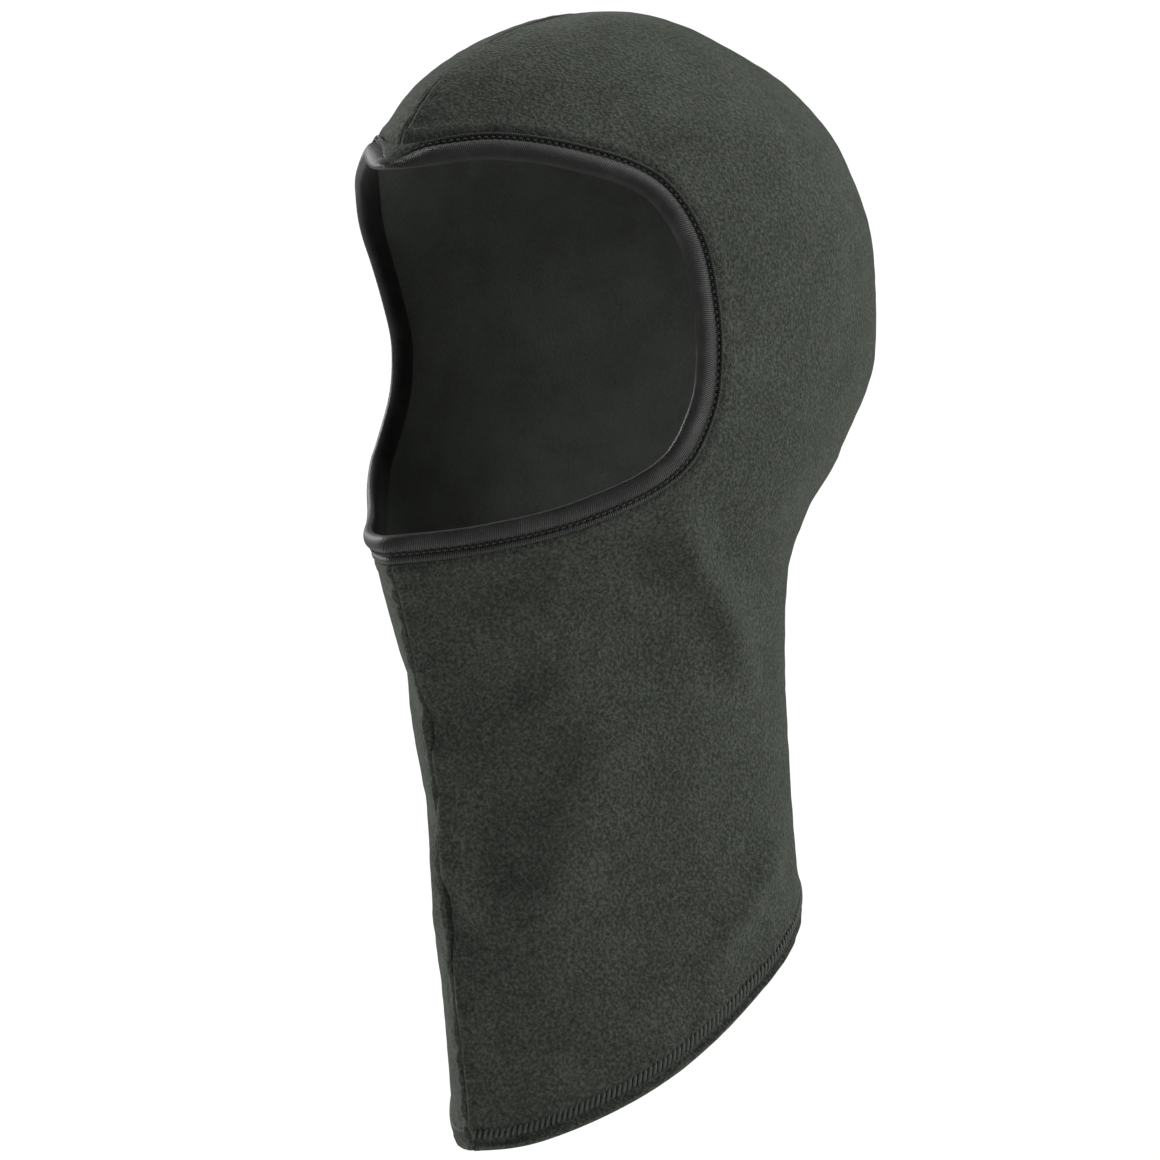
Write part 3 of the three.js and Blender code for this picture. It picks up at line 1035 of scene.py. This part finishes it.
def face_stitching():
    """The stitches of the tape, one short thread at a time along the groove."""
    places = stitch_places(RING_LENGTH - STITCH_START, TAPE_STITCH_PITCH, 0.3)
    points, ups = ring_at(groove_at(places), places)
    lift = GROOVE_FLOOR + 0.40 + 0.50 * (1 - STITCH_SHARES ** 2)
    paths, ups = both_sides(points + ups * lift[None, :, None], ups)
    return thread_piece("face_binding_stitching", [tubes(paths, ups, TAPE_THREAD)])


def end_tack():
    """The bar tack over the tape's ends: tight threads side by side across the brow seam."""
    share = np.linspace(-1, 1, 9)
    first, last = TAPE_WIDTH - 2 * GROOVE_END, TAPE_WIDTH - GROOVE_END
    insets = np.linspace(first, last, TACK_BARS)[:, None] + 0 * share[None]
    along = TACK_HALF * np.abs(share)[None] + 0 * insets
    points, ups = ring_at(insets, along)
    sign = np.where(share < 0, -1, 1)[None, :, None] * np.array((1, 0, 0)) + np.array((0, 1, 1))
    lift = BAND_CREST * 0.75 + 0.2 * (np.arange(TACK_BARS) % 2)[:, None] - 0.6 * share[None] ** 4
    paths = (points + ups * lift[..., None]) * sign
    return thread_piece("binding_end_tack", [tubes(paths, ups * sign, TACK_THREAD)])


face_tape = binding_tape()
stitches = face_stitching()
tack = end_tack()

# ---- Hem and seam threads ----

HEM_SAMPLES = 4000
SEAM_SAMPLES = 3000
HEM_THREAD = 0.66
SEAM_THREAD = 0.25
LOOP_PITCH = 2.6  # along the seam allowances
LOOP_OFF = 0.3  # distance of the loops from the allowances
LOOP_CORNERS = [(-1, 1.4), (-1, -0.3), (0, -0.55), (1, -0.3), (1, 1.4)]  # side and height
LOOP_LEAN = 0.125  # share of the pitch from one corner to the next
BROW_DEPTH = 43.0
CHIN_DEPTH = 189.0
CROWN_START = 1.5  # depth at which the crown's overlock loops start
UNDER_TAPE = 6.0  # how far the chains run on behind the tape
CHAIN_RADIUS = 0.45
CHAIN_POINTS = 400
FRONT_DEPTH = 380.0  # about where the centre seams meet the hem
BACK_DEPTH = 292.0


def hem_stitching():
    """The cover stitch: slanting threads side by side along the hem."""
    angle = np.linspace(0, math.pi, HEM_SAMPLES)
    v = np.full_like(angle, 3 - HEM_STITCH_HEIGHT / BAND)
    distance = length_along(form_point(np.sqrt(settled_depth(v, angle)), angle))
    places = stitch_places(distance[-1] - 2 * STITCH_START, HEM_STITCH_PITCH, 0.32)
    turned = np.interp(places, distance, angle)
    height = HEM_STITCH_HEIGHT + 1.0 + 1.7 * STITCH_SHARES
    root = np.sqrt(settled_depth(np.broadcast_to(3 - height / BAND, turned.shape), turned))
    ups = form_normal(root, turned)
    lift = 0.1 + 0.4 * (1 - STITCH_SHARES ** 2)
    paths, ups = both_sides(form_point(root, turned) + ups * lift[None, :, None], ups)
    return thread_piece("hem_stitching", [tubes(paths, ups, HEM_THREAD)])


def seam_line(start, end, angle, count):
    """Points and normals of the form down a centre seam, between two depths."""
    roots = np.linspace(math.sqrt(start), math.sqrt(end), count)
    angles = np.full_like(roots, angle)
    return form_point(roots, angles), form_normal(roots, angles)


def overlock(start, end, angle):
    """A thread looped along a seam's allowances, over their edge and down both their sides."""
    points, normals = seam_line(start, end, angle, SEAM_SAMPLES)
    distance = length_along(points)
    loops = np.arange(int(distance[-1] / LOOP_PITCH))[:, None]
    corners = np.array(LOOP_CORNERS)
    steps = LOOP_LEAN * np.arange(len(corners)) + 0.1
    places = (LOOP_PITCH * (loops + steps)).ravel()
    side, up = np.tile(corners, (len(loops), 1)).T
    rise = sampled(places, distance, normals)
    line = sampled(places, distance, points) + rise * (up - FLEECE - ALLOWANCE)[:, None]
    line[:, 0] = side * (SEAM_GAP + FLEECE + LOOP_OFF)
    return tubes(line[None], rise[None] * (0, 1, 1) + (0.01, 0, 0), SEAM_THREAD)


def seam_chain(start, end, angle):
    """The thread's chain along the cut edges of the seam allowances, behind the whole seam."""
    points, normals = seam_line(start, end, angle, CHAIN_POINTS)
    in_hem = 1 - ease(height_over_hem(points), HEM_FOLD - 3, HEM_FOLD - 0.5)
    cloth = (FLEECE + ALLOWANCE) * (1 - in_hem) + 2 * FLEECE * in_hem
    line = points - normals * (cloth + CLEARANCE + CHAIN_RADIUS)[:, None]
    line[:, 0] = 0
    return tubes(line[None], normals[None], CHAIN_RADIUS)


front_edge = hem_depth(front_at(math.sqrt(FRONT_DEPTH)))
back_edge = hem_depth(back_at(math.sqrt(BACK_DEPTH)))
crown_thread = thread_piece("crown_and_back_seam_thread", [
    overlock(CROWN_START, BROW_DEPTH, 0.0),
    overlock(CROWN_START, back_edge - HEM_FOLD - 4, math.pi),
    seam_chain(0, BROW_DEPTH + UNDER_TAPE, 0.0),
    seam_chain(0, back_edge - 1, math.pi),
])
throat_thread = thread_piece("throat_seam_thread", [
    overlock(CHIN_DEPTH, front_edge - HEM_FOLD - 2, 0.0),
    seam_chain(CHIN_DEPTH - UNDER_TAPE, front_edge - 1, 0.0),
])
hem_thread = hem_stitching()

# ---- Stage, camera and light ----

VIEW_AZIMUTH = math.radians(46)  # from the front towards the wearer's left
VIEW_DISTANCE = 6.0
VIEW_WIDTH = 0.3932  # metres across the picture at the balaclava
AIM_SIDE = -0.0074  # the picture's middle, to the side of the CAD box's middle
SENSOR = 36.0
FAR_CLIP = 50.0
FLOOR_GAP = 0.30
FLOOR_HALF = 5.0
SEEN_WHITE = 1.05  # strength of the surroundings as the camera sees them
AMBIENT = 0.11  # and as they light the balaclava

# Soft square lights: metres to the right of, in front of and above the balaclava's middle as
# seen by the camera, their size in metres and their power in watts.
LIGHTS = {
    "into_opening": (-1.3, 1.5, 0.5, 0.7, 8),
    "right_key": (1.85, 0.3, 0.9, 0.5, 35),
    "top": (0.1, -0.3, 1.6, 0.9, 11),
    "left_rim": (-1.2, -0.9, 0.7, 0.4, 23),
}

box_middle = (cad_box[0] + cad_box[1]) / 2
towards = Vector((math.sin(VIEW_AZIMUTH), -math.cos(VIEW_AZIMUTH), 0))
sideways = Vector((math.cos(VIEW_AZIMUTH), math.sin(VIEW_AZIMUTH), 0))


def make_camera():
    data = bpy.data.cameras.new("camera")
    data.sensor_width = SENSOR
    data.lens = SENSOR * VIEW_DISTANCE / VIEW_WIDTH
    data.clip_end = FAR_CLIP
    camera = in_scene("camera", data)
    camera.location = box_middle + sideways * AIM_SIDE + towards * VIEW_DISTANCE
    camera.rotation_euler = towards.to_track_quat("Z", "Y").to_euler()
    bpy.context.scene.camera = camera


def make_light(name, right, ahead, up, size, power):
    """A soft light turned to the balaclava."""
    data = bpy.data.lights.new(name, "AREA")
    data.size = size
    data.energy = power
    light = in_scene(name, data)
    offset = sideways * right + towards * ahead + Vector((0, 0, up))
    light.location = box_middle + offset
    light.rotation_euler = offset.to_track_quat("Z", "Y").to_euler()


def make_world():
    """White as the camera sees it, with a softer white lighting the balaclava."""
    world = bpy.data.worlds.new("studio")
    bpy.context.scene.world = world
    world.use_nodes = True
    nodes, links = world.node_tree.nodes, world.node_tree.links
    lighting = nodes["Background"]
    seen = nodes.new("ShaderNodeBackground")
    for background, strength in ((lighting, AMBIENT), (seen, SEEN_WHITE)):
        background.inputs["Strength"].default_value = strength
        background.inputs["Color"].default_value = WHITE
    mix = nodes.new("ShaderNodeMixShader")
    links.new(nodes.new("ShaderNodeLightPath").outputs["Is Camera Ray"], mix.inputs["Fac"])
    links.new(lighting.outputs["Background"], mix.inputs[1])
    links.new(seen.outputs["Background"], mix.inputs[2])
    links.new(mix.outputs["Shader"], nodes["World Output"].inputs["Surface"])


def make_floor():
    mesh = bpy.data.meshes.new("floor")
    height = cad_box[0].z - FLOOR_GAP
    sides = ((-1, -1), (1, -1), (1, 1), (-1, 1))
    corners = [(FLOOR_HALF * x, FLOOR_HALF * y, height) for x, y in sides]
    mesh.from_pydata(corners, [], [(0, 1, 2, 3)])
    mesh.materials.append(floor_material())
    in_scene("floor", mesh)


make_camera()
make_world()
make_floor()
for light_name, placing in LIGHTS.items():
    make_light(light_name, *placing)
bpy.context.scene.view_settings.view_transform = "Standard"
